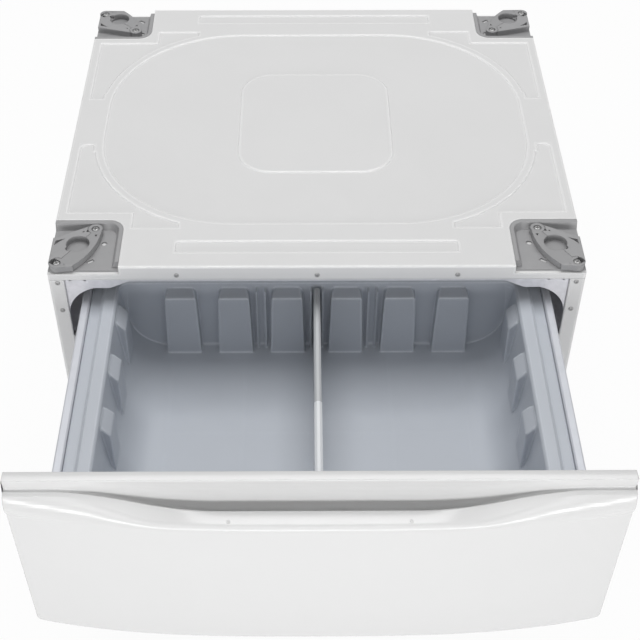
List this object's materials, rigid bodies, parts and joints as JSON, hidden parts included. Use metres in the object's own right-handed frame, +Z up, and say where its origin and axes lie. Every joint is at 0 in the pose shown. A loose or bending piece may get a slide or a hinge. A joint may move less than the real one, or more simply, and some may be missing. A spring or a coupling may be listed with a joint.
{
  "type": "washer pedestal drawer",
  "caption": "Low steel cabinet that a washer stands on, with clamps for its feet, levelling feet and one wide storage drawer on telescopic slides.",
  "frame": {"origin": "on the floor under the middle of the footprint, with the drawer pulled out to its stop", "axes": "+X to the right seen from the front, +Y to the back, +Z up"},
  "size_m": [0.686, 0.995, 0.361],
  "materials": {
    "white_panel": "satin white enamel",
    "galvanised": "zinc-coated sheet",
    "slide_steel": "plated steel",
    "drawer_steel": "zinc-coated sheet",
    "screws": "plated steel",
    "tub_plastic": "moulded, bluish grey",
    "divider_grey": "moulded",
    "divider_light": "moulded, slightly translucent",
    "front_gloss": "gloss white",
    "bracket_grey": "moulded",
    "arm_grey": "moulded",
    "foot_black": "moulded round a steel stud",
    "bumper_rubber": "soft"
  },
  "bodies": {
    "cabinet": {"top_panel": "white_panel", "side_panel_left": "white_panel", "side_panel_right": "white_panel", "back_panel": "galvanised", "kick_panel": "white_panel", "front_top_rail": "galvanised", "corner_gusset_left": "galvanised", "corner_gusset_right": "galvanised", "base_rail_left": "galvanised", "base_rail_right": "galvanised", "rear_base_rail": "galvanised", "slide_carrier_left": "galvanised", "slide_carrier_right": "galvanised", "slide_outer_left": "slide_steel", "slide_outer_right": "slide_steel", "top_flange_screws": "screws", "side_flange_screws": "screws", "back_panel_screws": "screws", "clamp_pivot_bolts": "screws", "clamp_lock_screws": "screws", "foot_lock_nuts": "screws", "foot_bracket_front_left": "bracket_grey", "foot_bracket_front_right": "bracket_grey", "foot_bracket_rear_left": "bracket_grey", "foot_bracket_rear_right": "bracket_grey"},
    "drawer": {"drawer_side_left": "drawer_steel", "drawer_side_right": "drawer_steel", "drawer_cross_rail": "drawer_steel", "drawer_front_plate": "galvanised", "drawer_tub": "tub_plastic", "drawer_front_shell": "front_gloss", "drawer_bumpers": "bumper_rubber", "front_plate_screws": "screws", "slide_inner_left": "slide_steel", "slide_inner_right": "slide_steel"},
    "middle_member_left": {"slide_middle_left": "slide_steel"},
    "middle_member_right": {"slide_middle_right": "slide_steel"},
    "divider": {"divider_rear": "divider_grey", "divider_front": "divider_light"},
    "arm_front_left": {"clamp_arm_front_left": "arm_grey"},
    "foot_front_left": {"levelling_foot_front_left": "foot_black"},
    "arm_front_right": {"clamp_arm_front_right": "arm_grey"},
    "foot_front_right": {"levelling_foot_front_right": "foot_black"},
    "arm_rear_left": {"clamp_arm_rear_left": "arm_grey"},
    "foot_rear_left": {"levelling_foot_rear_left": "foot_black"},
    "arm_rear_right": {"clamp_arm_rear_right": "arm_grey"},
    "foot_rear_right": {"levelling_foot_rear_right": "foot_black"}
  },
  "joints": [
    {"name": "drawer_slide", "type": "slide", "parent": "cabinet", "child": "drawer", "axis": [0, -1, 0], "range_m": [-0.325, 0]},
    {"name": "slide_middle_left", "type": "slide", "parent": "cabinet", "child": "middle_member_left", "axis": [0, -1, 0], "range_m": [-0.1625, 0]},
    {"name": "slide_middle_right", "type": "slide", "parent": "cabinet", "child": "middle_member_right", "axis": [0, -1, 0], "range_m": [-0.1625, 0]},
    {"name": "divider_lift", "type": "slide", "parent": "drawer", "child": "divider", "axis": [0, 0, 1], "range_m": [0, 0.03]},
    {"name": "clamp_front_left", "type": "hinge", "parent": "cabinet", "child": "arm_front_left", "pos_m": [-0.289, -0.04375, 0.351], "axis": [0, 0, 1], "range_deg": [0, 35]},
    {"name": "clamp_front_right", "type": "hinge", "parent": "cabinet", "child": "arm_front_right", "pos_m": [0.289, -0.04375, 0.351], "axis": [0, 0, -1], "range_deg": [0, 35]},
    {"name": "clamp_rear_left", "type": "hinge", "parent": "cabinet", "child": "arm_rear_left", "pos_m": [-0.281, 0.43825, 0.351], "axis": [0, 0, -1], "range_deg": [0, 35]},
    {"name": "clamp_rear_right", "type": "hinge", "parent": "cabinet", "child": "arm_rear_right", "pos_m": [0.281, 0.43825, 0.351], "axis": [0, 0, 1], "range_deg": [0, 35]},
    {"name": "level_front_left", "type": "slide", "parent": "cabinet", "child": "foot_front_left", "axis": [0, 0, -1], "range_m": [0, 0.01]},
    {"name": "level_front_right", "type": "slide", "parent": "cabinet", "child": "foot_front_right", "axis": [0, 0, -1], "range_m": [0, 0.01]},
    {"name": "level_rear_left", "type": "slide", "parent": "cabinet", "child": "foot_rear_left", "axis": [0, 0, -1], "range_m": [0, 0.01]},
    {"name": "level_rear_right", "type": "slide", "parent": "cabinet", "child": "foot_rear_right", "axis": [0, 0, -1], "range_m": [0, 0.01]}
  ],
  "couplings": [
    {"joint": "slide_middle_left", "follows": "drawer_slide", "ratio": 0.5},
    {"joint": "slide_middle_right", "follows": "drawer_slide", "ratio": 0.5}
  ]
}
